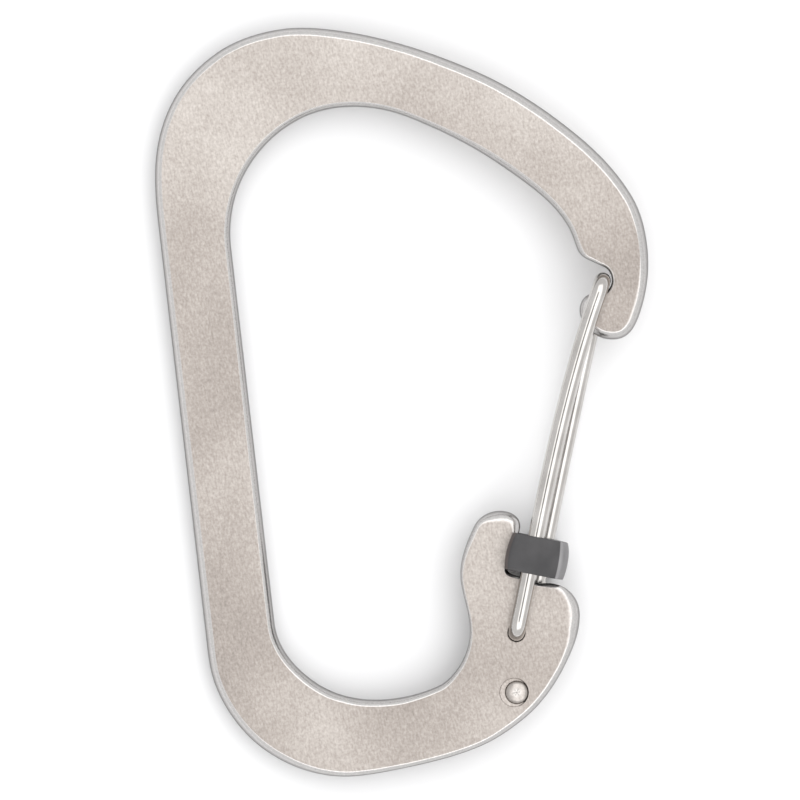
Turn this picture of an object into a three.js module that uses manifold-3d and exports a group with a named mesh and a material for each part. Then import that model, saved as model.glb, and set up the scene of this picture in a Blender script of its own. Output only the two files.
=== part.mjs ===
// Wire-gate carabiner keyring with a sliding gate lock.
//
// The body is one flat plate in the XY plane, half its thickness on each side
// of z = 0. The straight spine runs along +Y, the gate is on the +X side, and
// the front, where the slider's smooth face and one wire leg are, looks to +Z.
// The origin is the middle of the spine's flat inner wall. Millimetres.
import * as THREE from 'three';
import { mergeVertices } from 'three/addons/utils/BufferGeometryUtils.js';
import Module from 'manifold-3d';

const wasm = await Module();
wasm.setup();

// Body plate.
const PLATE_THICKNESS = 3.4;
const EDGE_ROUND = 0.65;
const SPINE_WIDTH = 7.45;

// Wire gate: two legs, one in front of the plate and one behind it.
const WIRE_DIAMETER = 1.75;
const LEG_HEIGHT = 2.85;
const LEG_BEND = 1.3;
const LOOP_BEND = 1.4;
const LOOP_GAP = 0.3;

// Pivot of each leg in the plate, and the loop that rests in the nose's notch.
const FRONT_PIVOT = new THREE.Vector2(25.6, -27.0);
const REAR_PIVOT = new THREE.Vector2(24.9, -33.3);
const NOSE_LOOP = new THREE.Vector2(39.1, 9.4);

// Pivot holes and the countersinks that the peened wire ends sit in.
const FRONT_HOLE_RADIUS = 1.02;
const REAR_HOLE_RADIUS = 1.15;
const SINK_RADIUS = 1.62;
const SINK_DEPTH = 0.55;
const FLUSH_HEAD_RADIUS = 1.25;
const DOMED_HEAD_RADIUS = 1.18;
const DOME_HEIGHT = 0.42;

// Lock slider, in its own frame: x to the right, y along the wires.
const SLIDER_CENTRE = new THREE.Vector2(28.73, -19.04);
const SLIDER_TILT = THREE.MathUtils.degToRad(-17.7);
const SLIDER_HALF_DEPTH = 4.6;
const SLIDER_EDGE = 0.35;
const CHANNEL_HALF_HEIGHT = 1.075;
const LIP_GAP = 0.3;

// The plate's outline, clockwise. Each station is a point and the heading in
// degrees that the outline has there, and stations are joined by smooth arcs.
const SPINE_AND_TOP = [
  [-SPINE_WIDTH, -24, 90],
  [-SPINE_WIDTH, 20.5, 90],
  [-6.95, 27.6, 79],
  [-4.2, 34.05, 54],
  [0.3, 38.05, 31],
  [7.9, 40.1, 2],
  [14.6, 39.12, -15],
  [28.2, 33.25, -30],
  [38.3, 25.12, -46],
];
const NOSE = [
  [43.2, 18.2, -65],
  [44.3, 12.2, -91],
  [43.0, 6.2, -113],
  [40.0, 3.0, -178],
  [37.5, 3.9, 138],
  [36.3, 6.3, 90],
  [37.9, 8.15, 0],
  [38.9, 8.15, 0],
  [40.15, 9.5, 90],
  [39.3, 10.95, 152],
  [37.88, 11.8, 152],
  [36.82, 13.1, 106],
];
const INSIDE = [
  [36.2, 15.4, 112],
  [30.4, 22.35, 138],
  [20.45, 29.2, 152],
  [13.0, 31.08, 180],
  [3.0, 26.05, 231],
  [0, 17.5, 270],
  [0, -23, 270],
  [3.8, -29.95, -40],
  [11.3, -32.5, -1],
  [16.6, -31.75, 17],
  [18.6, -30.45, 45],
  [20.76, -25.2, 92],
];
const TAB = [
  [20.35, -21.0, 92],
  [22.4, -15.2, 58],
  [25.0, -13.8, 0],
  [27.35, -15.6, -92],
  [26.75, -17.1, -113],
  [25.5, -20.0, -113],
  [26.6, -21.05, -22],
  [28.4, -21.93, -20],
  [30.05, -22.2, -14],
];
const SHOULDER_AND_BOTTOM = [
  [32.6, -25.5, -92],
  [30.4, -31.0, -123],
  [25.45, -36.15, -147],
  [20.5, -38.57, -163],
  [13.5, -39.85, -174],
  [7.2, -40.26, 180],
  [-2.2, -36.7, 140],
  [-6.0, -31.75, 116],
  [-7.3, -27.6, 98],
];

function turnBetween(from, to) {
  return THREE.MathUtils.euclideanModulo(to - from + 180, 360) - 180;
}

// Length of both handles of a Bezier curve that stands for an arc with this
// chord and turning angle.
function handleLength(chord, turnDegrees) {
  const turn = THREE.MathUtils.degToRad(Math.abs(turnDegrees));
  if (turn < 0.001) {
    return chord / 3;
  }
  return (chord * 2 * Math.tan(turn / 4)) / (3 * Math.sin(turn / 2));
}

function outlineShape(stations) {
  const shape = new THREE.Shape();
  shape.moveTo(stations[0][0], stations[0][1]);
  stations.forEach((start, index) => {
    const end = stations[(index + 1) % stations.length];
    const chord = Math.hypot(end[0] - start[0], end[1] - start[1]);
    const handle = handleLength(chord, turnBetween(start[2], end[2]));
    const startHeading = THREE.MathUtils.degToRad(start[2]);
    const endHeading = THREE.MathUtils.degToRad(end[2]);
    const straight = Math.atan2(end[1] - start[1], end[0] - start[0]);
    const bend = Math.cos(straight - startHeading) + Math.cos(straight - endHeading);
    if (bend > 1.99999) {
      shape.lineTo(end[0], end[1]);
      return;
    }
    shape.bezierCurveTo(
      start[0] + handle * Math.cos(startHeading),
      start[1] + handle * Math.sin(startHeading),
      end[0] - handle * Math.cos(endHeading),
      end[1] - handle * Math.sin(endHeading),
      end[0],
      end[1],
    );
  });
  return shape;
}

function toSolid(geometry) {
  const bare = geometry.clone();
  bare.deleteAttribute('normal');
  bare.deleteAttribute('uv');
  const merged = mergeVertices(bare, 1e-5);
  const triangles = [];
  const index = merged.index.array;
  for (let i = 0; i < index.length; i += 3) {
    const [a, b, c] = [index[i], index[i + 1], index[i + 2]];
    if (a !== b && b !== c && c !== a) {
      triangles.push(a, b, c);
    }
  }
  const mesh = new wasm.Mesh({
    numProp: 3,
    vertProperties: new Float32Array(merged.attributes.position.array),
    triVerts: new Uint32Array(triangles),
  });
  return new wasm.Manifold(mesh);
}

function toGeometry(solid) {
  const mesh = solid.getMesh();
  const geometry = new THREE.BufferGeometry();
  const positions = new Float32Array(mesh.vertProperties);
  geometry.setAttribute('position', new THREE.BufferAttribute(positions, 3));
  geometry.setIndex(new THREE.BufferAttribute(new Uint32Array(mesh.triVerts), 1));
  geometry.computeVertexNormals();
  return geometry;
}

function steel(color, roughness) {
  return new THREE.MeshStandardMaterial({ color, roughness, metalness: 0.95 });
}

// A shape turned about the Z axis. The profile is [radius, z] pairs.
function turned(profile, segments) {
  const points = profile.map(([radius, z]) => new THREE.Vector2(radius, z));
  const geometry = new THREE.LatheGeometry(points, segments);
  geometry.rotateX(Math.PI / 2);
  return geometry;
}

// A pivot hole through the plate with a countersink on the side that the
// peened wire end is on (side +1 is the front).
function pivotCutter(pivot, holeRadius, side) {
  const face = PLATE_THICKNESS / 2;
  const flare = SINK_RADIUS - holeRadius;
  const profile = [
    [0, -face - 1],
    [holeRadius, -face - 1],
    [holeRadius, face - SINK_DEPTH],
    [SINK_RADIUS, face],
    [SINK_RADIUS + flare / SINK_DEPTH, face + 1],
    [0, face + 1],
  ];
  const geometry = turned(profile, 28);
  if (side < 0) {
    geometry.rotateX(Math.PI);
  }
  geometry.translate(pivot.x, pivot.y, 0);
  return toSolid(geometry);
}

function makePlate() {
  const stations = [...SPINE_AND_TOP, ...NOSE, ...INSIDE, ...TAB, ...SHOULDER_AND_BOTTOM];
  const geometry = new THREE.ExtrudeGeometry(outlineShape(stations), {
    depth: PLATE_THICKNESS - 2 * EDGE_ROUND,
    curveSegments: 5,
    bevelThickness: EDGE_ROUND,
    bevelSize: EDGE_ROUND,
    bevelOffset: -EDGE_ROUND,
    bevelSegments: 3,
  });
  geometry.translate(0, 0, EDGE_ROUND - PLATE_THICKNESS / 2);
  const plate = toSolid(geometry)
    .subtract(pivotCutter(FRONT_PIVOT, FRONT_HOLE_RADIUS, -1))
    .subtract(pivotCutter(REAR_PIVOT, REAR_HOLE_RADIUS, 1));
  return toGeometry(plate);
}

// Centre line of one leg in its own frame: x runs from the pivot to the loop,
// y is to the left and z is away from the plate. The leg rises out of its
// hole, bends over, bows slightly, and bends back down at the loop.
function legPath(length, bow, stubStart) {
  const flat = new THREE.CubicBezierCurve(
    new THREE.Vector2(0, 0),
    new THREE.Vector2(length / 3, bow[0]),
    new THREE.Vector2((length * 2) / 3, bow[1]),
    new THREE.Vector2(length, 0),
  );
  const total = flat.getLength();
  const points = [];
  const pointAt = (distance, height) => {
    const spot = flat.getPointAt(distance / total);
    points.push(new THREE.Vector3(spot.x, spot.y, height));
  };
  const stubTop = LEG_HEIGHT - LEG_BEND;
  for (let step = 0; step < 4; step += 1) {
    pointAt(0, THREE.MathUtils.lerp(stubStart, stubTop, step / 4));
  }
  for (let step = 0; step <= 4; step += 1) {
    const angle = (step * Math.PI) / 8;
    pointAt(LEG_BEND * (1 - Math.cos(angle)), stubTop + LEG_BEND * Math.sin(angle));
  }
  const straightSteps = 14;
  const straight = total - LEG_BEND - LOOP_BEND;
  for (let step = 1; step < straightSteps; step += 1) {
    pointAt(LEG_BEND + (straight * step) / straightSteps, LEG_HEIGHT);
  }
  const loopStart = total - LOOP_BEND;
  for (let step = 0; step <= 4; step += 1) {
    const angle = (step * Math.PI) / 8;
    const height = LEG_HEIGHT - LOOP_BEND * (1 - Math.cos(angle));
    pointAt(Math.min(total, loopStart + LOOP_BEND * Math.sin(angle)), height);
  }
  const loopBottom = LEG_HEIGHT - LOOP_BEND;
  for (let step = 1; step <= 2; step += 1) {
    pointAt(total, THREE.MathUtils.lerp(loopBottom, LOOP_GAP / 2, step / 2));
  }
  return new THREE.CatmullRomCurve3(points, false, 'centripetal');
}

// One leg of the gate with its half of the loop and its peened end. The head's
// profile is [radius, z] pairs and lies on the far side of the plate.
function makeLeg(length, bow, headProfile) {
  const section = new THREE.Shape();
  section.absarc(0, 0, WIRE_DIAMETER / 2, 0, Math.PI * 2);
  const stubStart = headProfile[2][1] - 0.02;
  const wire = new THREE.ExtrudeGeometry(section, {
    steps: 84,
    curveSegments: 5,
    extrudePath: legPath(length, bow, stubStart),
  });
  const head = turned(headProfile, 20);
  return toSolid(wire).add(toSolid(head));
}

function headFlush() {
  const radius = WIRE_DIAMETER / 2;
  const face = -PLATE_THICKNESS / 2;
  return [
    [0, face + 0.05],
    [FLUSH_HEAD_RADIUS - 0.2, face + 0.07],
    [FLUSH_HEAD_RADIUS, face + 0.15],
    [radius - 0.02, face + 0.62],
    [0, face + 0.62],
  ];
}

function headDomed() {
  const radius = WIRE_DIAMETER / 2;
  const face = -PLATE_THICKNESS / 2;
  return [
    [0, face - DOME_HEIGHT],
    [DOMED_HEAD_RADIUS * 0.5, face - DOME_HEIGHT * 0.85],
    [DOMED_HEAD_RADIUS * 0.86, face - DOME_HEIGHT * 0.45],
    [DOMED_HEAD_RADIUS, face + 0.1],
    [radius - 0.02, face + 0.5],
    [0, face + 0.5],
  ];
}

function placedLeg(name, pivot, bow, headProfile, side) {
  const run = new THREE.Vector2().subVectors(NOSE_LOOP, pivot);
  let leg = makeLeg(run.length(), bow, headProfile);
  if (side < 0) {
    leg = leg.mirror([0, 0, 1]);
  }
  const mesh = new THREE.Mesh(toGeometry(leg), steel(0xcfcac4, 0.22));
  mesh.name = name;
  mesh.position.set(pivot.x, pivot.y, 0);
  mesh.rotation.z = run.angle();
  return mesh;
}

// A closed box-like prism. The outline is [x, y] pairs, extruded along z.
function prism(outline, low, high) {
  const shape = new THREE.Shape(outline.map(([x, y]) => new THREE.Vector2(x, y)));
  const geometry = new THREE.ExtrudeGeometry(shape, { depth: high - low, bevelEnabled: false });
  geometry.translate(0, 0, low);
  return geometry;
}

// The same with the outline in [x, z] and the prism along y.
function prismAlongY(outline, low, high) {
  const geometry = prism(outline, -high, -low);
  geometry.rotateX(Math.PI / 2);
  return geometry;
}

function makeSlider() {
  const face = [
    [-2.6, 2.0, 0],
    [2.6, 2.0, 0],
    [3.2, 1.4, -84],
    [3.45, 0, -90],
    [3.25, -1.4, -98],
    [2.6, -2.0, 180],
    [-2.6, -2.0, 180],
    [-3.2, -1.4, 98],
    [-3.35, -0.4, 90],
    [-3.15, 1.4, 82],
  ];
  const block = new THREE.ExtrudeGeometry(outlineShape(face), {
    depth: 2 * (SLIDER_HALF_DEPTH - SLIDER_EDGE),
    curveSegments: 4,
    bevelThickness: SLIDER_EDGE,
    bevelSize: SLIDER_EDGE,
    bevelOffset: -SLIDER_EDGE,
    bevelSegments: 2,
  });
  block.translate(0, 0, SLIDER_EDGE - SLIDER_HALF_DEPTH);
  // The closed side narrows from the middle towards the front and back faces.
  const flank = [
    [-5, -6],
    [1.75, -6],
    [2.25, -4.4],
    [3.3, -1.6],
    [3.5, 0],
    [3.3, 1.6],
    [2.25, 4.4],
    [1.75, 6],
    [-5, 6],
  ];
  const lipInside = PLATE_THICKNESS / 2 + LIP_GAP;
  // The tab of the plate reaches in here, so the core's face is set back most
  // at its lower end, which passes the hooked tip of the tab last.
  const tabRecess = [
    [-5, -3],
    [-1.15, -3],
    [-2.05, 3],
    [-5, 3],
  ];
  const channel = (left, right, middle) => {
    const low = middle - CHANNEL_HALF_HEIGHT;
    const high = middle + CHANNEL_HALF_HEIGHT;
    const corner = 0.5;
    return prismAlongY([
      [left + corner, low],
      [right - corner, low],
      [right, low + corner],
      [right, high - corner],
      [right - corner, high],
      [left + corner, high],
      [left, high - corner],
      [left, low + corner],
    ], -4, 4);
  };
  return toSolid(block)
    .intersect(toSolid(prismAlongY(flank, -4, 4)))
    .subtract(toSolid(prism(tabRecess, -lipInside, lipInside)))
    .subtract(toSolid(channel(-1.9, 0.8, LEG_HEIGHT)))
    .subtract(toSolid(channel(-1.4, 1.85, -LEG_HEIGHT)));
}

const carabiner = new THREE.Group();

const plate = new THREE.Mesh(makePlate(), steel(0xcbc1ba, 0.38));
plate.name = 'frame_plate';
carabiner.add(plate);

const gate = new THREE.Group();
gate.add(placedLeg('gate_wire_front', FRONT_PIVOT, [0.45, 1.45], headFlush(), 1));
gate.add(placedLeg('gate_wire_rear', REAR_PIVOT, [0.25, 0.25], headDomed(), -1));
carabiner.add(gate);

const sliderMaterial = new THREE.MeshStandardMaterial({
  color: 0x504e4f,
  roughness: 0.55,
  metalness: 0,
});
const slider = new THREE.Mesh(toGeometry(makeSlider()), sliderMaterial);
slider.name = 'lock_slider';
slider.position.set(SLIDER_CENTRE.x, SLIDER_CENTRE.y, 0);
slider.rotation.z = SLIDER_TILT;
carabiner.add(slider);

export default carabiner;
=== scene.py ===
"""Looks of the wire-gate carabiner keyring: steel plate, bent wire gate and plastic lock slider."""

import math

import bmesh
import bpy
import numpy as np
from mathutils import Matrix, Vector
from mathutils.geometry import delaunay_2d_cdt


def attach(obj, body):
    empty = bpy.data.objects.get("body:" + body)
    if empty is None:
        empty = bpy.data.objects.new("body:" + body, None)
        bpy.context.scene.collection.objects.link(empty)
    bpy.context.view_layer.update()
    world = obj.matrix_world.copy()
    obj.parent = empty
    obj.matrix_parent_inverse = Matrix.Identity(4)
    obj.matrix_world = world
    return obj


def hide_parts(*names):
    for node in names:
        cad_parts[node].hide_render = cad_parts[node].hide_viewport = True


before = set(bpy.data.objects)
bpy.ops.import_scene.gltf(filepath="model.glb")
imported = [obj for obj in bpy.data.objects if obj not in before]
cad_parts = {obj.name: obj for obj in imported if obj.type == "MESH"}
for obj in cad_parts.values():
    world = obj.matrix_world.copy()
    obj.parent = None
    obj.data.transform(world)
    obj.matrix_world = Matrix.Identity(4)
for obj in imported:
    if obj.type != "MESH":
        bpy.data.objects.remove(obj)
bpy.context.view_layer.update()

# All sizes below are millimetres in the part's frame: X from the spine to the gate,
# Y along the spine, Z out of the front face. Meshes are scaled to metres at the end.
MM = 0.001

PLATE_THICKNESS = 3.4
SPINE_WIDTH = 7.45

WIRE_RADIUS = 0.875
LEG_HEIGHT = 2.85
LEG_BEND = 1.3
LOOP_BEND = 1.4
# Heights of a leg's two ends over the plate's middle: inside its hole, and in the loop.
STUB_START = -0.9
LOOP_END = 0.01
FRONT_PIVOT = (25.6, -27.0)
REAR_PIVOT = (24.9, -33.3)
NOSE_LOOP = (39.1, 9.4)
FRONT_BOW = (0.45, 1.45)
REAR_BOW = (0.25, 0.25)

# The front leg fills its hole; the rear leg moves a little in its own. A counterbore
# takes the front leg's flush head, and an off-centre dish surrounds the rear leg's.
SNUG_HOLE_RADIUS = 0.93
REAR_HOLE_RADIUS = 1.15
SINK_RADIUS = 1.62
SINK_DEPTH = 0.5
DISH_OFFSET = (-0.27, 0.03)

SLIDER_CENTRE = (28.73, -19.04)
SLIDER_TILT = math.radians(-17.7)
SLIDER_HALF_DEPTH = 4.6
SLIDER_HALF_LENGTH = 2.0
SLIDER_END_RADIUS = 0.12
RIDGE_RADIUS = 0.22
CLOSED_SIDE_RADIUS = 0.62
CHANNEL_HALF_HEIGHT = 1.075
CHANNEL_CORNER = 0.6
# Left and right wall and middle height of the channel for each leg.
CHANNELS = ((-1.9, 0.8, LEG_HEIGHT), (-1.4, 1.85, -LEG_HEIGHT))
# The slot for the plate's tab: X of its inner wall at the cutter's low and high end,
# and the room over each face of the plate.
RECESS_LOW = -1.15
RECESS_HIGH = -2.05
RECESS_GAP = 0.3

# The edge's lip turns down by this many degrees before the main rounding starts.
LIP_TURN = 28
LIP_STEPS = 4
ARC_STEPS = 7
# How much the lip's width wanders, over how many waves round the plate, and its limits.
LIP_WANDER = 0.12
LIP_WAVES = range(40, 160, 3)
LIP_LIMITS = (0.5, 1.6)
# A lip narrower than this carries the painted highlight all over; a wider one stays satin near the
# face.
WIDE_LIP = 0.3
FADE_LIMITS = (0.3, 1.1)
# The ring that keeps the flat face's shading flat lies this far inside the rim.
FACE_INSET = 0.12

# The camera, the grain and the light are turned this far from the spine.
VIEW_ROLL = math.radians(6.6)
VIEW_CENTRE = (16.1, -0.8)
VIEW_WIDTH = 85.7
VIEW_DISTANCE = 1000
SENSOR_WIDTH = 36

# The light tent. The panel and the opening are given on a level plane one unit above
# the keyring: how far to each side they reach, and how wide their soft border is.
WALL_LIGHT = 0.92
PANEL_LIGHT = 2.1
OPENING_LIGHT = 0.3
PANEL_LEFT = 0.42
PANEL_RIGHT = 1.0
PANEL_UP = 1.1
PANEL_DOWN = 1.1
PANEL_SOFT = 0.12
OPENING_RADIUS = 0.16
OPENING_SOFT = 0.05

# The floor meets the plate's back at one X and the slider's back at another.
FLOOR_AT_SPINE = -7.0
FLOOR_AT_SLIDER = 26.2
FLOOR_GAP = 0.03
FLOOR_HALF_SIZE = 1500

# Outline stations: x, y, heading in degrees, width of the rounded edge seen from
# the front, and how much of that width is the glossy lip next to the face, which carries a painted
# highlight.
STATIONS = [
    (-SPINE_WIDTH, -24, 90, 0.82, 0.012),
    (-SPINE_WIDTH, 20.5, 90, 0.74, 0.012),
    (-6.95, 27.6, 79, 0.74, 0.015),
    (-4.2, 34.05, 54, 0.74, 0.03),
    (0.3, 38.05, 31, 0.82, 0.08),
    (7.9, 40.1, 2, 0.88, 0.14),
    (14.6, 39.12, -15, 0.95, 0.16),
    (28.2, 33.25, -30, 1.02, 0.15),
    (38.3, 25.12, -46, 1.06, 0.15),
    (43.2, 18.2, -65, 1.00, 0.15),
    (44.3, 12.2, -91, 0.92, 0.012),
    (43.0, 6.2, -113, 1.00, 0.35),
    (40.0, 3.0, -178, 0.85, 0.12),
    (37.5, 3.9, 138, 0.80, 0.10),
    (36.3, 6.3, 90, 0.60, 0.08),
    (37.9, 8.15, 0, 0.45, 0.06),
    (38.9, 8.15, 0, 0.35, 0.05),
    (40.15, 9.5, 90, 0.22, 0.05),
    (39.3, 10.95, 152, 0.28, 0.08),
    (37.88, 11.8, 152, 0.35, 0.09),
    (36.82, 13.1, 106, 0.50, 0.06),
    (36.2, 15.4, 112, 0.50, 0.04),
    (30.4, 22.35, 138, 0.62, 0.015),
    (20.45, 29.2, 152, 0.46, 0.012),
    (13.0, 31.08, 180, 0.50, 0.012),
    (3.0, 26.05, 231, 0.55, 0.012),
    (0, 17.5, 270, 0.62, 0.012),
    (0, -23, 270, 0.75, 0.03),
    (3.8, -29.95, -40, 0.80, 0.12),
    (11.3, -32.5, -1, 0.72, 0.14),
    (16.6, -31.75, 17, 0.55, 0.10),
    (18.6, -30.45, 45, 0.42, 0.06),
    (20.76, -25.2, 92, 0.25, 0.012),
    (20.35, -21.0, 92, 0.26, 0.012),
    (22.4, -15.2, 58, 0.55, 0.18),
    (25.0, -13.8, 0, 1.25, 0.50),
    (27.35, -15.6, -92, 1.05, 0.40),
    (26.75, -17.1, -113, 0.60, 0.15),
    (25.5, -20.0, -113, 0.40, 0.05),
    (26.6, -21.05, -22, 0.26, 0.05),
    (28.4, -21.93, -20, 0.34, 0.10),
    (30.05, -22.2, -14, 0.60, 0.40),
    (32.6, -25.5, -92, 1.35, 0.55),
    (30.4, -31.0, -123, 0.72, 0.20),
    (25.45, -36.15, -147, 0.64, 0.14),
    (20.5, -38.57, -163, 0.56, 0.12),
    (13.5, -39.85, -174, 0.54, 0.12),
    (7.2, -40.26, 180, 0.58, 0.12),
    (-2.2, -36.7, 140, 0.78, 0.10),
    (-6.0, -31.75, 116, 0.80, 0.03),
    (-7.3, -27.6, 98, 0.80, 0.015),
]


def handle_length(chord, turn_degrees):
    """Both handles of the Bezier curve that stands for an arc of this chord and turn."""
    turn = math.radians(abs(turn_degrees))
    if turn < 0.001:
        return chord / 3
    return chord * 2 * math.tan(turn / 4) / (3 * math.sin(turn / 2))


def outline(spacing=0.4):
    """Points, inward normals, edge widths and lip widths round the plate, clockwise."""
    points = []
    inward = []
    widths = []
    lips = []
    for start, end in zip(STATIONS, STATIONS[1:] + STATIONS[:1]):
        a = np.array(start[:2], float)
        d = np.array(end[:2], float)
        chord = np.linalg.norm(d - a)
        turn = (end[2] - start[2] + 180) % 360 - 180
        handle = handle_length(chord, turn)
        h0 = math.radians(start[2])
        h1 = math.radians(end[2])
        b = a + handle * np.array((math.cos(h0), math.sin(h0)))
        c = d - handle * np.array((math.cos(h1), math.sin(h1)))
        count = max(4, math.ceil(chord / spacing), math.ceil(abs(turn) / 6))
        for step in range(count):
            t = step / count
            s = 1 - t
            p = s**3 * a + 3 * s * s * t * b + 3 * s * t * t * c + t**3 * d
            v = 3 * s * s * (b - a) + 6 * s * t * (c - b) + 3 * t * t * (d - c)
            v /= np.linalg.norm(v)
            points.append(p)
            inward.append((v[1], -v[0]))
            blend = t * t * (3 - 2 * t)
            widths.append(start[3] * (1 - blend) + end[3] * blend)
            lips.append(start[4] * (1 - blend) + end[4] * blend)
    return np.array(points), np.array(inward), np.array(widths), np.array(lips)


def inside(points, loop):
    """True for each point that lies inside the closed loop."""
    x, y = points[:, 0:1], points[:, 1:2]
    x0, y0 = loop[:, 0], loop[:, 1]
    x1, y1 = np.roll(x0, -1), np.roll(y0, -1)
    crosses = (y0 > y) != (y1 > y)
    with np.errstate(divide="ignore", invalid="ignore"):
        at = x0 + (y - y0) * (x1 - x0) / (y1 - y0)
    return (crosses & (x < at)).sum(1) % 2 == 1


def circle(centre, radius, count=48):
    angles = np.arange(count) * 2 * math.pi / count
    return np.array(centre) + radius * np.stack((np.cos(angles), np.sin(angles)), 1)


def face_triangles(border, holes, spacing=1.0):
    """Triangles of a flat face with holes, and its inner points. Indices run over
    the border, then each hole, then the inner points."""
    loops = [border] + holes
    low, high = border.min(0), border.max(0)
    grid = []
    for row, y in enumerate(np.arange(low[1], high[1], spacing * 0.866)):
        for x in np.arange(low[0] + spacing / 2 * (row % 2), high[0], spacing):
            grid.append((x, y))
    grid = np.array(grid)
    grid = grid[inside(grid, border)]
    for loop in loops:
        gap = np.linalg.norm(grid[:, None, :] - loop[None, :, :], axis=2).min(1)
        keep = gap > spacing * 0.55
        if loop is not border:
            keep &= ~inside(grid, loop)
        grid = grid[keep]
    flat = np.concatenate(loops + [grid])
    edges = []
    start = 0
    for loop in loops:
        count = len(loop)
        edges += [(start + i, start + (i + 1) % count) for i in range(count)]
        start += count
    made = delaunay_2d_cdt([Vector(p) for p in flat], edges, [], 0, 1e-6)
    _, _, triangles, sources, _, _ = made
    corners = [[sources[i][0] for i in triangle] for triangle in triangles]
    centres = flat[np.array(corners)].mean(1)
    keep = inside(centres, border)
    for loop in holes:
        keep &= ~inside(centres, loop)
    return [c for c, k in zip(corners, keep) if k], grid


class Builder:
    """Collects one mesh's vertices and faces. Each vertex has a number, "edge", that
    the materials read: where the surface is rounded or peened, and where painted highlights and
    painted shade go."""

    def __init__(self):
        self.points = []
        self.faces = []
        self.edge = []

    def ring(self, flat, z, edge=1.0):
        """A loop of x, y points, at one height or at a height for each."""
        heights = np.broadcast_to(z, len(flat))
        return self.loop([(p[0], p[1], h) for p, h in zip(flat, heights)], edge)

    def loop(self, points, edge=1.0):
        """A loop of x, y, z points, with one edge number or a number for each."""
        start = len(self.points)
        self.points += [tuple(p) for p in points]
        self.edge += list(np.broadcast_to(edge, len(points)))
        return list(range(start, start + len(points)))

    def bridge(self, a, b):
        count = len(a)
        for i in range(count):
            j = (i + 1) % count
            self.faces.append((a[i], a[j], b[j], b[i]))

    def chain(self, loops):
        for a, b in zip(loops, loops[1:]):
            self.bridge(a, b)

    def cap(self, first, last):
        self.faces.append(tuple(first))
        self.faces.append(tuple(reversed(last)))

    def middle(self, ring):
        return np.array([self.points[i] for i in ring]).mean(0)

    def fan(self, ring, point, edge=1.0):
        self.points.append(tuple(point))
        self.edge.append(edge)
        tip = len(self.points) - 1
        for i in range(len(ring)):
            self.faces.append((ring[i], ring[(i + 1) % len(ring)], tip))

    def object(self, name, sharp_degrees=32, place=None):
        mesh = bpy.data.meshes.new(name)
        scaled = [tuple(c * MM for c in p) for p in self.points]
        mesh.from_pydata(scaled, [], self.faces)
        mesh.validate()
        numbers = mesh.attributes.new("edge", "FLOAT", "POINT")
        numbers.data.foreach_set("value", np.array(self.edge, np.float32))
        work = bmesh.new()
        work.from_mesh(mesh)
        bmesh.ops.recalc_face_normals(work, faces=work.faces)
        if place is not None:
            work.transform(place)
        mark_sharp(work, sharp_degrees)
        work.to_mesh(mesh)
        work.free()
        made = bpy.data.objects.new(name, mesh)
        bpy.context.scene.collection.objects.link(made)
        return made


def mark_sharp(work, degrees):
    limit = math.radians(degrees)
    for face in work.faces:
        face.smooth = True
    for edge in work.edges:
        if len(edge.link_faces) == 2:
            edge.smooth = edge.calc_face_angle(0) < limit


def wander(count, waves, seed):
    """A smooth random line round a closed loop, about -1 to 1."""
    random = np.random.default_rng(seed)
    along = np.arange(count) * 2 * math.pi / count
    line = np.zeros(count)
    for wave in waves:
        line += random.normal() * np.cos(wave * along + random.uniform(0, 2 * math.pi))
    return line / math.sqrt(len(waves))


def rounded_rings(build, points, inward, widths, lips):
    """Rings down each rounded edge, round the plate, from the face to the wall: a lip
    that turns down from the face, then the main rounding as one arc. Their edge number
    rises from 0 at the face to 1 where the lip ends and 2 at the wall."""
    half = PLATE_THICKNESS / 2
    turn = math.radians(LIP_TURN)
    ragged = 1 + LIP_WANDER * wander(len(points), LIP_WAVES, seed=4)
    lips = lips * np.clip(ragged, *LIP_LIMITS)
    bend = lips / math.sin(turn)
    radii = (widths - lips) / (1 - math.sin(turn))
    fade = np.clip(lips / WIDE_LIP, *FADE_LIMITS)
    profile = []
    for step in range(LIP_STEPS + 1):
        tilt = turn * step / LIP_STEPS
        inset = widths - bend * math.sin(tilt)
        profile.append((inset, bend * (1 - math.cos(tilt)), (step / LIP_STEPS) ** fade))
    lip_drop = bend * (1 - math.cos(turn))
    for step in range(1, ARC_STEPS + 1):
        tilt = turn + (math.pi / 2 - turn) * step / ARC_STEPS
        inset = radii * (1 - math.sin(tilt))
        drop = lip_drop + radii * (math.cos(turn) - math.cos(tilt))
        profile.append((inset, drop, 1 + step / ARC_STEPS))
    rings = []
    for side in (1, -1):
        run = []
        for inset, drop, edge in profile:
            flat = points + inward * inset[:, None]
            run.append(build.ring(flat, side * (half - drop), edge))
        rings.append(run)
    return rings


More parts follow.
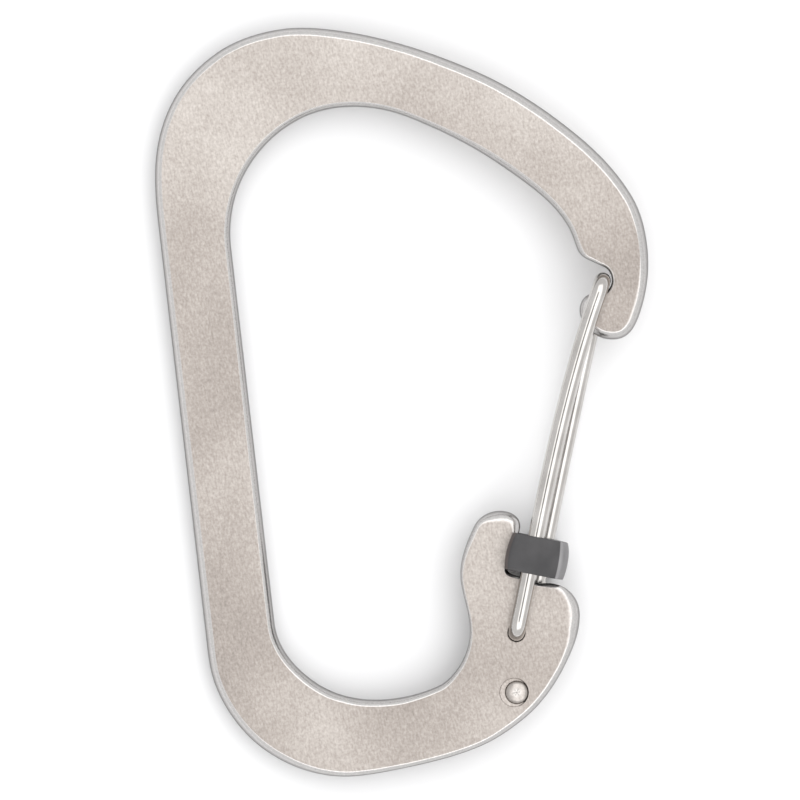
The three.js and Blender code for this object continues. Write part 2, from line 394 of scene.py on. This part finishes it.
def make_plate():
    build = Builder()
    points, inward, widths, lips = outline()
    front, back = rounded_rings(build, points, inward, widths, lips)
    build.chain(front)
    build.chain(back)
    build.bridge(front[-1], back[-1])

    half = PLATE_THICKNESS / 2
    # Each pivot's rings from the front face to the back face: offset, radius, z.
    # The first ring of each lies in the face and keeps its shading flat.
    pivots = [
        (FRONT_PIVOT, [
            ((0, 0), SNUG_HOLE_RADIUS + 0.16, half),
            ((0, 0), SNUG_HOLE_RADIUS + 0.08, half),
            ((0, 0), SNUG_HOLE_RADIUS + 0.02, half - 0.03),
            ((0, 0), SNUG_HOLE_RADIUS, half - 0.10),
            ((0, 0), SNUG_HOLE_RADIUS, -half + SINK_DEPTH),
            ((0, 0), SINK_RADIUS - 0.08, -half + 0.06),
            ((0, 0), SINK_RADIUS, -half),
        ]),
        (REAR_PIVOT, [
            (DISH_OFFSET, SINK_RADIUS + 0.02, half),
            (DISH_OFFSET, SINK_RADIUS - 0.05, half),
            (DISH_OFFSET, SINK_RADIUS - 0.11, half - 0.06),
            ((-0.10, 0.01), REAR_HOLE_RADIUS + 0.22, half - 0.085),
            ((0, 0), REAR_HOLE_RADIUS + 0.10, half - 0.10),
            ((0, 0), REAR_HOLE_RADIUS, half - 0.26),
            ((0, 0), REAR_HOLE_RADIUS, -half + 0.12),
            ((0, 0), REAR_HOLE_RADIUS + 0.12, -half),
        ]),
    ]
    hole_rings = []
    for centre, profile in pivots:
        run = []
        for offset, radius, z in profile:
            middle = (centre[0] + offset[0], centre[1] + offset[1])
            run.append(build.ring(circle(middle, radius), z, edge=0.0))
        build.chain(run)
        hole_rings.append(run)

    for side, rim, which in ((1, front[0], 0), (-1, back[0], -1)):
        holes = [run[which] for run in hole_rings]
        rim_flat = np.array([build.points[i][:2] for i in rim])
        hole_flats = [np.array([build.points[i][:2] for i in ring]) for ring in holes]
        inner_flat = rim_flat + inward * FACE_INSET
        inner = build.ring(inner_flat, side * half, edge=0.0)
        build.bridge(rim, inner)
        corners, extra = face_triangles(inner_flat, hole_flats)
        more = build.ring(extra, side * half, edge=0.0)
        index = inner + [i for ring in holes for i in ring] + more
        build.faces += [tuple(index[i] for i in corner) for corner in corners]
    return build.object("plate", sharp_degrees=40)


def leg_centre_line(length, bow):
    """The leg's centre line from the plate's far side to the middle of the loop:
    x from the pivot to the loop, y to the left, z away from the plate."""
    a = np.array((0.0, 0.0))
    b = np.array((length / 3, bow[0]))
    c = np.array((length * 2 / 3, bow[1]))
    d = np.array((length, 0.0))

    def flat(t):
        s = 1 - t
        return s**3 * a + 3 * s * s * t * b + 3 * s * t * t * c + t**3 * d

    samples = np.array([flat(t) for t in np.linspace(0, 1, 401)])
    steps = np.linalg.norm(np.diff(samples, axis=0), axis=1)
    runs = np.concatenate(([0], np.cumsum(steps)))
    total = runs[-1]

    def at(distance):
        x = np.interp(distance, runs, samples[:, 0])
        y = np.interp(distance, runs, samples[:, 1])
        return x, y

    line = []
    stub_top = LEG_HEIGHT - LEG_BEND
    for z in np.linspace(STUB_START, stub_top, 6)[:-1]:
        line.append((0.0, 0.0, z))
    for angle in np.linspace(0, math.pi / 2, 10):
        x, y = at(LEG_BEND * (1 - math.cos(angle)))
        line.append((x, y, stub_top + LEG_BEND * math.sin(angle)))
    straight = np.linspace(LEG_BEND, total - LOOP_BEND, 72)[1:-1]
    for distance in straight:
        line.append((*at(distance), LEG_HEIGHT))
    for angle in np.linspace(0, math.pi / 2, 12):
        x, y = at(total - LOOP_BEND * (1 - math.sin(angle)))
        line.append((x, y, LEG_HEIGHT - LOOP_BEND * (1 - math.cos(angle))))
    for z in np.linspace(LEG_HEIGHT - LOOP_BEND, LOOP_END, 5)[1:]:
        line.append((*at(total), z))
    return np.array(line)


def sweep(build, line, radius, count=32):
    """A round section carried along the line without twisting. Returns its rings."""
    tangents = np.gradient(line, axis=0)
    tangents /= np.linalg.norm(tangents, axis=1)[:, None]
    side = np.array((0.0, 1.0, 0.0))
    rings = []
    for point, tangent in zip(line, tangents):
        side = side - tangent * side.dot(tangent)
        side /= np.linalg.norm(side)
        up = np.cross(tangent, side)
        angles = np.arange(count) * 2 * math.pi / count
        ring = point + radius * (np.outer(np.cos(angles), side) + np.outer(np.sin(angles), up))
        rings.append(build.loop(ring, edge=0.0))
    build.chain(rings)
    return rings


def head_rings(build, first_ring, profile, dent=0.0):
    """Carries the stub's first ring on through the peened head's radii and heights.
    A dent makes the top slightly three-lobed."""
    base = np.array([build.points[i] for i in first_ring])
    centre = base.mean(0)
    spokes = (base - centre) / WIRE_RADIUS
    last = first_ring
    for radius, z in profile:
        ring = centre + spokes * radius
        ring[:, 2] = z
        if dent:
            angles = np.arctan2(spokes[:, 1], spokes[:, 0])
            share = 1 - radius / profile[0][0]
            ring[:, 2] += dent * share * np.cos(3 * angles + 0.6)
        made = build.loop(ring, edge=0.85 if radius > 0.5 else 0.4)
        build.bridge(made, last)
        last = made
    tip = centre.copy()
    tip[2] = profile[-1][1] + dent * 0.9
    build.fan(last, tip, edge=0.2)


def make_leg(name, pivot, bow, profile, side, dent=0.0):
    """One leg of the wire, in front of the plate (side 1) or behind it (side -1)."""
    run = np.array(NOSE_LOOP) - np.array(pivot)
    build = Builder()
    line = leg_centre_line(np.linalg.norm(run), bow)
    rings = sweep(build, line, WIRE_RADIUS)
    head_rings(build, rings[0], profile, dent)
    build.fan(rings[-1], build.middle(rings[-1]), edge=0.0)
    turn = math.atan2(run[1], run[0])
    place = (
        Matrix.Translation((pivot[0] * MM, pivot[1] * MM, 0))
        @ Matrix.Rotation(turn, 4, "Z")
        @ Matrix.Diagonal((1, 1, side, 1))
    )
    return build.object(name, sharp_degrees=50, place=place)


def slider_sides(y):
    """Left side, right side and the front face's right edge at one height. Both sides
    bulge a little below the middle."""
    bulge = 1 - ((y + 0.3) / 2.3) ** 2
    left = -2.98 - 0.33 * bulge
    right = 3.12 + 0.30 * bulge - 0.10 * max(0.0, y - 0.9) ** 2
    crest = 2.22 + 0.24 * (1 - ((y + 0.6) / 2.6) ** 2)
    return left, right, crest


def slider_section(y):
    """The slider's outer section at one height: a loop of x, z, from the closed
    side round by the front face to the open side and back."""
    half = SLIDER_HALF_DEPTH
    left, right, crest = slider_sides(y)
    loop = [(right, 0.0), (right - 0.01, 0.5), (right - 0.06, 1.3)]
    loop += [(right - 0.30, 2.4), (right - 0.55, 3.4)]
    for angle in np.linspace(0.35, math.pi / 2, 5):
        x = crest + RIDGE_RADIUS * (math.cos(angle) - 0.6)
        loop.append((x, half - RIDGE_RADIUS * (1 - math.sin(angle))))
    flat = np.linspace(crest - 0.35, left + CLOSED_SIDE_RADIUS + 0.1, 9)
    loop += [(x, half) for x in flat]
    for angle in np.linspace(math.pi / 2, math.pi, 8)[1:]:
        x = left + CLOSED_SIDE_RADIUS * (1 + math.cos(angle))
        loop.append((x, half - CLOSED_SIDE_RADIUS * (1 - math.sin(angle))))
    loop += [(left, 2.6), (left, 1.2)]
    mirrored = [(x, -z) for x, z in reversed(loop[1:])]
    return np.array(loop + [(left, 0.0)] + mirrored)


def slider_shading_zone(x, z, left, right, crest):
    """The slider's edge number round its section: 0 on the flat faces, 1 on the open
    side, 2 on the ridge between them, where it fades out over the face, and -1 on the
    closed side's rounding. The material paints light by these numbers: a lighter open
    side, a painted highlight on the ridge and brownish painted shading on the closed side's
    rounding."""
    if x > crest + 0.12:
        return 1.0
    if x > crest - 0.1:
        return 2.0 if abs(z) < SLIDER_HALF_DEPTH - 0.005 else 0.6
    if x < left + 0.35:
        return -1.0
    return 0.0


def slider_body():
    """The slider without its inside, lying along Y with its middle at the origin."""
    build = Builder()
    end = SLIDER_HALF_LENGTH
    radius = SLIDER_END_RADIUS
    rows = []
    for angle in np.linspace(math.pi / 2, 0, 5):
        rows.append((end - radius * (1 - math.sin(angle)), radius * (1 - math.cos(angle))))
    for y in np.linspace(end - radius, -end + radius, 11)[1:-1]:
        rows.append((y, 0.0))
    for angle in np.linspace(0, math.pi / 2, 5)[::-1]:
        rows.append((-end + radius * (1 - math.cos(angle)), radius * (1 - math.sin(angle))))
    rings = []
    for y, inset in rows:
        section = slider_section(y)
        ahead = np.roll(section, -1, axis=0) - np.roll(section, 1, axis=0)
        ahead /= np.linalg.norm(ahead, axis=1)[:, None]
        inward = np.stack((-ahead[:, 1], ahead[:, 0]), 1)
        # Numbers that place the slider's painted light: lit open side, ridge highlight, brownish
        # shading on the closed side.
        shading_zone = [slider_shading_zone(x, z, *slider_sides(y)) for x, z in section]
        shrunk = section + inward * inset
        rings.append(build.loop([(x, y, z) for x, z in shrunk], edge=shading_zone))
    build.chain(rings)
    build.cap(rings[0], rings[-1])
    return build.object("slider", sharp_degrees=180)


def recess_cutter():
    """Cuts the slot for the plate's tab, open towards the closed side."""
    build = Builder()
    half = PLATE_THICKNESS / 2 + RECESS_GAP
    outside = -5
    reach = 3
    corners = [(outside, -reach), (RECESS_LOW, -reach), (RECESS_HIGH, reach), (outside, reach)]
    bottom = build.loop([(x, y, -half) for x, y in corners])
    top = build.loop([(x, y, half) for x, y in corners])
    build.bridge(bottom, top)
    build.cap(bottom, top)
    return build.object("recess_cutter")


def channel_cutter(left, right, middle):
    """Cuts one leg's channel, with rounded corners, right through along Y."""
    build = Builder()
    radius = CHANNEL_CORNER
    reach = 4
    rise = CHANNEL_HALF_HEIGHT - radius
    corners = [
        (right - radius, middle + rise),
        (left + radius, middle + rise),
        (left + radius, middle - rise),
        (right - radius, middle - rise),
    ]
    loop = []
    for quarter, (x, z) in enumerate(corners):
        for step in range(6):
            angle = (quarter + step / 5) * math.pi / 2
            loop.append((x + radius * math.cos(angle), z + radius * math.sin(angle)))
    low = build.loop([(x, -reach, z) for x, z in loop])
    high = build.loop([(x, reach, z) for x, z in loop])
    build.bridge(low, high)
    build.cap(low, high)
    return build.object("channel_cutter")


def make_slider():
    slider = slider_body()
    cutters = [recess_cutter()] + [channel_cutter(*channel) for channel in CHANNELS]
    for cutter in cutters:
        cut = slider.modifiers.new("cut", "BOOLEAN")
        cut.operation = "DIFFERENCE"
        cut.solver = "EXACT"
        cut.object = cutter
    bpy.context.view_layer.update()
    evaluated = slider.evaluated_get(bpy.context.evaluated_depsgraph_get())
    final = bpy.data.meshes.new_from_object(evaluated)
    slider.modifiers.clear()
    slider.data = final
    for cutter in cutters:
        bpy.data.objects.remove(cutter)
    work = bmesh.new()
    work.from_mesh(final)
    centre = (SLIDER_CENTRE[0] * MM, SLIDER_CENTRE[1] * MM, 0)
    work.transform(Matrix.Translation(centre) @ Matrix.Rotation(SLIDER_TILT, 4, "Z"))
    mark_sharp(work, 34)
    work.to_mesh(final)
    work.free()
    return slider


class Nodes:
    """Short calls for building one node tree."""

    def __init__(self, tree):
        self.tree = tree

    def node(self, kind, **values):
        made = self.tree.nodes.new(kind)
        for key, value in values.items():
            setattr(made, key, value)
        return made

    def link(self, source, target):
        self.tree.links.new(source, target)

    def split(self, vector):
        made = self.node("ShaderNodeSeparateXYZ")
        self.link(vector, made.inputs["Vector"])
        return made.outputs["X"], made.outputs["Y"], made.outputs["Z"]

    def spread(self, value, low, high, to_low=0.0, to_high=1.0, kind="LINEAR"):
        made = self.node("ShaderNodeMapRange", interpolation_type=kind)
        numbers = {"From Min": low, "From Max": high, "To Min": to_low, "To Max": to_high}
        for key, number in numbers.items():
            made.inputs[key].default_value = number
        self.link(value, made.inputs["Value"])
        return made.outputs["Result"]

    def math(self, operation, a, b=0.0):
        made = self.node("ShaderNodeMath", operation=operation)
        for socket, value in zip(made.inputs, (a, b)):
            if isinstance(value, (int, float)):
                socket.default_value = value
            else:
                self.link(value, socket)
        return made.outputs["Value"]


class MaterialNodes(Nodes):
    """Short calls for building one material's nodes."""

    def __init__(self, name):
        self.material = bpy.data.materials.new(name)
        self.material.use_nodes = True
        super().__init__(self.material.node_tree)
        self.shader = self.tree.nodes["Principled BSDF"]

    def set(self, **values):
        for key, value in values.items():
            self.shader.inputs[key.replace("_", " ")].default_value = value

    def drive(self, source, name):
        self.link(source, self.shader.inputs[name])

    def place(self, scale=(1, 1, 1), turn=0.0):
        """Object coordinates, stretched and turned about Z."""
        where = self.node("ShaderNodeTexCoord")
        mapping = self.node("ShaderNodeMapping")
        mapping.inputs["Scale"].default_value = scale
        spin = self.node("ShaderNodeMapping")
        spin.inputs["Rotation"].default_value = (0, 0, turn)
        self.link(where.outputs["Object"], spin.inputs["Vector"])
        self.link(spin.outputs["Vector"], mapping.inputs["Vector"])
        return mapping.outputs["Vector"]

    def noise(self, vector, scale, detail=3.0, roughness=0.55):
        made = self.node("ShaderNodeTexNoise")
        made.inputs["Scale"].default_value = scale
        made.inputs["Detail"].default_value = detail
        made.inputs["Roughness"].default_value = roughness
        self.link(vector, made.inputs["Vector"])
        return made.outputs["Fac"]

    def blend(self, a, share, b):
        """The sum of a times share and b times the rest."""
        rest = self.math("MULTIPLY", b, 1 - share)
        return self.math("ADD", self.math("MULTIPLY", a, share), rest)

    def mix(self, share, a, b):
        """Mixes two colours. The colour sockets share their names with others, so
        they are found by number."""
        made = self.node("ShaderNodeMix", data_type="RGBA")
        self.link(share, made.inputs["Factor"])
        self.link(a, made.inputs[6])
        self.link(b, made.inputs[7])
        return made.outputs[2]

    def mix_value(self, share, a, b):
        made = self.node("ShaderNodeMix", data_type="FLOAT")
        self.link(share, made.inputs["Factor"])
        self.link(a, made.inputs["A"])
        self.link(b, made.inputs["B"])
        return made.outputs["Result"]

    def ramp(self, value, stops):
        made = self.node("ShaderNodeValToRGB")
        elements = made.color_ramp.elements
        elements[0].position, elements[0].color = stops[0][0], (*stops[0][1], 1)
        elements[1].position, elements[1].color = stops[-1][0], (*stops[-1][1], 1)
        for position, color in stops[1:-1]:
            elements.new(position).color = (*color, 1)
        self.link(value, made.inputs["Fac"])
        return made.outputs["Color"]

    def bump(self, height, strength, distance):
        made = self.node("ShaderNodeBump")
        made.inputs["Strength"].default_value = strength
        made.inputs["Distance"].default_value = distance
        self.link(height, made.inputs["Height"])
        self.drive(made.outputs["Normal"], "Normal")

    def edge(self):
        """The mesh's own edge number, as Builder made it."""
        made = self.node("ShaderNodeAttribute", attribute_name="edge")
        return made.outputs["Fac"]


def plate_steel():
    n = MaterialNodes("satin_steel")
    n.set(Metallic=1.0, Specular_Tint=(0.6, 0.6, 0.6, 1))
    grain_place = n.place((1, 0.3, 1), -VIEW_ROLL)
    grain = n.noise(grain_place, 5200, 3, 0.6)
    plain = n.place()
    speckle = n.noise(plain, 3700, 4, 0.7)
    clouds = n.noise(plain, 55, 3, 0.5)
    fine = n.blend(grain, 0.45, speckle)
    # The face is a little lighter towards the top bend.
    _, along, _ = n.split(plain)
    lighter_towards_top = n.spread(along, 12 * MM, 34 * MM, 0.0, 0.075)
    tone = n.math("ADD", n.blend(fine, 0.62, clouds), lighter_towards_top)
    face = n.ramp(tone, [
        (0.34, (0.255, 0.225, 0.205)),
        (0.50, (0.390, 0.351, 0.323)),
        (0.66, (0.565, 0.526, 0.492)),
    ])
    edge = n.edge()
    plain_rounding = n.ramp(speckle, [(0.3, (0.56, 0.545, 0.535)), (0.7, (0.66, 0.645, 0.635))])
    shaded_wall = n.ramp(speckle, [(0.3, (0.24, 0.23, 0.225)), (0.7, (0.30, 0.29, 0.285))])
    lip_highlight = n.ramp(speckle, [(0.3, (0.63, 0.615, 0.605)), (0.7, (0.73, 0.715, 0.705))])
    # Painted highlight on the glossy lip, the plain colour on the rounding, and painted shade
    # darkening down the wall for the shaded floor it reflects.
    side = n.mix(n.spread(edge, 1.0, 1.2), lip_highlight, plain_rounding)
    side = n.mix(n.spread(edge, 1.2, 1.75), side, shaded_wall)
    n.drive(n.mix(edge, face, side), "Base Color")
    face_rough = n.spread(fine, 0.3, 0.7, 0.48, 0.36)
    side_rough = n.spread(fine, 0.3, 0.7, 0.24, 0.16)
    n.drive(n.mix_value(edge, face_rough, side_rough), "Roughness")
    n.bump(fine, 0.16, 0.04 * MM)
    return n.material


def wire_steel():
    n = MaterialNodes("drawn_wire")
    n.set(Metallic=1.0)
    plain = n.place()
    clouds = n.noise(plain, 300, 3, 0.5)
    wire = n.ramp(clouds, [(0.3, (0.50, 0.48, 0.46)), (0.7, (0.61, 0.59, 0.57))])
    speckle = n.noise(plain, 3200, 4, 0.65)
    head = n.ramp(speckle, [(0.3, (0.32, 0.29, 0.265)), (0.7, (0.50, 0.46, 0.43))])
    peened = n.edge()
    n.drive(n.mix(peened, wire, head), "Base Color")
    wire_rough = n.spread(clouds, 0.3, 0.7, 0.11, 0.17)
    head_rough = n.spread(speckle, 0.3, 0.7, 0.38, 0.28)
    n.drive(n.mix_value(peened, wire_rough, head_rough), "Roughness")
    turn = math.atan2(NOSE_LOOP[1] - FRONT_PIVOT[1], NOSE_LOOP[0] - FRONT_PIVOT[0])
    drawn = n.noise(n.place((0.05, 1, 1), -turn), 5200, 2, 0.5)
    n.bump(drawn, 0.08, 0.02 * MM)
    return n.material


def slider_plastic():
    n = MaterialNodes("matt_plastic")
    plain = n.place()
    clouds = n.noise(plain, 420, 3, 0.5)
    # Painted light: the open side is a lighter copy of the face for the light it catches, the ridge
    # carries a painted highlight, and the closed side's rounding a lighter, browner painted
    # shading.
    face = n.ramp(clouds, [(0.3, (0.031, 0.030, 0.032)), (0.7, (0.052, 0.050, 0.052))])
    lit_flank = n.ramp(clouds, [(0.3, (0.120, 0.116, 0.120)), (0.7, (0.165, 0.160, 0.165))])
    ridge = n.ramp(clouds, [(0.3, (0.22, 0.215, 0.22)), (0.7, (0.30, 0.295, 0.30))])
    brownish_shading = n.ramp(clouds, [(0.3, (0.058, 0.046, 0.043)), (0.7, (0.082, 0.066, 0.062))])
    shading_zone = n.edge()
    colour = n.mix(n.spread(shading_zone, 0, 1), face, lit_flank)
    colour = n.mix(n.spread(shading_zone, 1, 2), colour, ridge)
    colour = n.mix(n.spread(shading_zone, 0, -1), colour, brownish_shading)
    n.drive(colour, "Base Color")
    fine = n.noise(plain, 9000, 3, 0.6)
    n.drive(n.spread(fine, 0.3, 0.7, 0.46, 0.58), "Roughness")
    n.bump(fine, 0.25, 0.03 * MM)
    return n.material


def white_floor():
    n = MaterialNodes("white_sweep")
    plain = n.place()
    soft = n.noise(plain, 30, 2, 0.5)
    pale = n.ramp(soft, [(0.3, (0.86, 0.86, 0.865)), (0.7, (0.88, 0.88, 0.885))])
    n.drive(pale, "Base Color")
    n.set(Roughness=0.9)
    return n.material


def make_floor():
    """The surface the keyring lies on: it touches the spine's back edge and the
    slider's back, so it slopes a little against the plate."""
    drop = SLIDER_HALF_DEPTH - PLATE_THICKNESS / 2
    slope = drop / (FLOOR_AT_SLIDER - FLOOR_AT_SPINE)
    work = bmesh.new()
    bmesh.ops.create_grid(work, x_segments=8, y_segments=8, size=FLOOR_HALF_SIZE * MM)
    work.transform(Matrix.Rotation(math.atan(slope), 4, "Y"))
    centre_z = -PLATE_THICKNESS / 2 + slope * FLOOR_AT_SPINE - FLOOR_GAP
    work.transform(Matrix.Translation((0, 0, centre_z * MM)))
    mesh = bpy.data.meshes.new("floor")
    work.to_mesh(mesh)
    work.free()
    floor = bpy.data.objects.new("floor", mesh)
    bpy.context.scene.collection.objects.link(floor)
    floor.data.materials.append(white_floor())


def make_camera():
    """Straight above the plate's face."""
    centre = Vector((*VIEW_CENTRE, 0)) * MM
    distance = VIEW_DISTANCE * MM
    right = Vector((math.cos(VIEW_ROLL), -math.sin(VIEW_ROLL), 0))
    up = Vector((math.sin(VIEW_ROLL), math.cos(VIEW_ROLL), 0))
    back = Vector((0, 0, 1))
    data = bpy.data.cameras.new("camera")
    data.sensor_width = SENSOR_WIDTH
    data.lens = SENSOR_WIDTH * VIEW_DISTANCE / VIEW_WIDTH
    data.clip_start = 10 * MM
    data.clip_end = 20000 * MM
    camera = bpy.data.objects.new("camera", data)
    turn = Matrix((right, up, back)).transposed().to_4x4()
    camera.matrix_world = Matrix.Translation(centre + back * distance) @ turn
    bpy.context.scene.collection.objects.link(camera)
    bpy.context.scene.camera = camera


def make_light():
    """A light tent with one large panel overhead, set to the right, and a small
    dark opening in it straight above the keyring."""
    world = bpy.data.worlds.new("tent")
    world.use_nodes = True
    n = Nodes(world.node_tree)
    where = n.node("ShaderNodeTexCoord")
    turned = n.node("ShaderNodeMapping")
    turned.inputs["Rotation"].default_value = (0, 0, VIEW_ROLL)
    n.link(where.outputs["Generated"], turned.inputs["Vector"])
    x, y, z = n.split(turned.outputs["Vector"])
    up = n.math("MAXIMUM", z, 0.05)
    across = n.math("DIVIDE", x, up)
    along = n.math("DIVIDE", y, up)

    def smooth(value, low, high):
        return n.spread(value, low, high, kind="SMOOTHSTEP")

    panel = smooth(across, -PANEL_LEFT - PANEL_SOFT, -PANEL_LEFT + PANEL_SOFT)
    for value, limit in (
        (across, PANEL_RIGHT),
        (along, PANEL_UP),
        (n.math("MULTIPLY", along, -1.0), PANEL_DOWN),
    ):
        border = smooth(value, limit + 2 * PANEL_SOFT, limit - 2 * PANEL_SOFT)
        panel = n.math("MULTIPLY", panel, border)
    squares = n.math("ADD", n.math("POWER", across, 2.0), n.math("POWER", along, 2.0))
    off_axis = n.math("SQRT", squares)
    around = smooth(off_axis, OPENING_RADIUS - OPENING_SOFT, OPENING_RADIUS + OPENING_SOFT)
    lit = n.math("MULTIPLY", panel, PANEL_LIGHT - WALL_LIGHT)
    lit = n.math("ADD", lit, WALL_LIGHT - OPENING_LIGHT)
    lit = n.math("MULTIPLY", lit, around)
    lit = n.math("ADD", lit, OPENING_LIGHT)
    background = world.node_tree.nodes["Background"]
    n.link(lit, background.inputs["Strength"])
    background.inputs["Color"].default_value = (1, 1, 1, 1)
    bpy.context.scene.world = world


plate = make_plate()
plate.data.materials.append(plate_steel())
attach(plate, "body")
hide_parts("frame_plate")

wire_material = wire_steel()
# Radius and height of each ring of the peened heads, as seen from the leg's own side.
flush_head = [
    (0.89, -1.20), (1.00, -1.34), (1.20, -1.50), (1.25, -1.56),
    (1.18, -1.60), (0.95, -1.64), (0.5, -1.655),
]
domed_head = [
    (0.89, -1.30), (0.90, -1.56), (1.02, -1.64), (1.14, -1.67), (1.19, -1.72),
    (1.15, -1.82), (1.03, -1.91), (0.84, -1.99), (0.62, -2.04), (0.38, -2.07), (0.18, -2.08),
]
leg_front = make_leg("gate_leg_front", FRONT_PIVOT, FRONT_BOW, flush_head, 1)
leg_rear = make_leg("gate_leg_rear", REAR_PIVOT, REAR_BOW, domed_head, -1, dent=0.03)
for leg, body, node in (
    (leg_front, "gate", "gate_wire_front"),
    (leg_rear, "gate_rear_leg", "gate_wire_rear"),
):
    leg.data.materials.append(wire_material)
    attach(leg, body)
    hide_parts(node)

slider = make_slider()
slider.data.materials.append(slider_plastic())
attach(slider, "lock")
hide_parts("lock_slider")

make_floor()
make_camera()
make_light()
bpy.context.scene.view_settings.view_transform = "Standard"
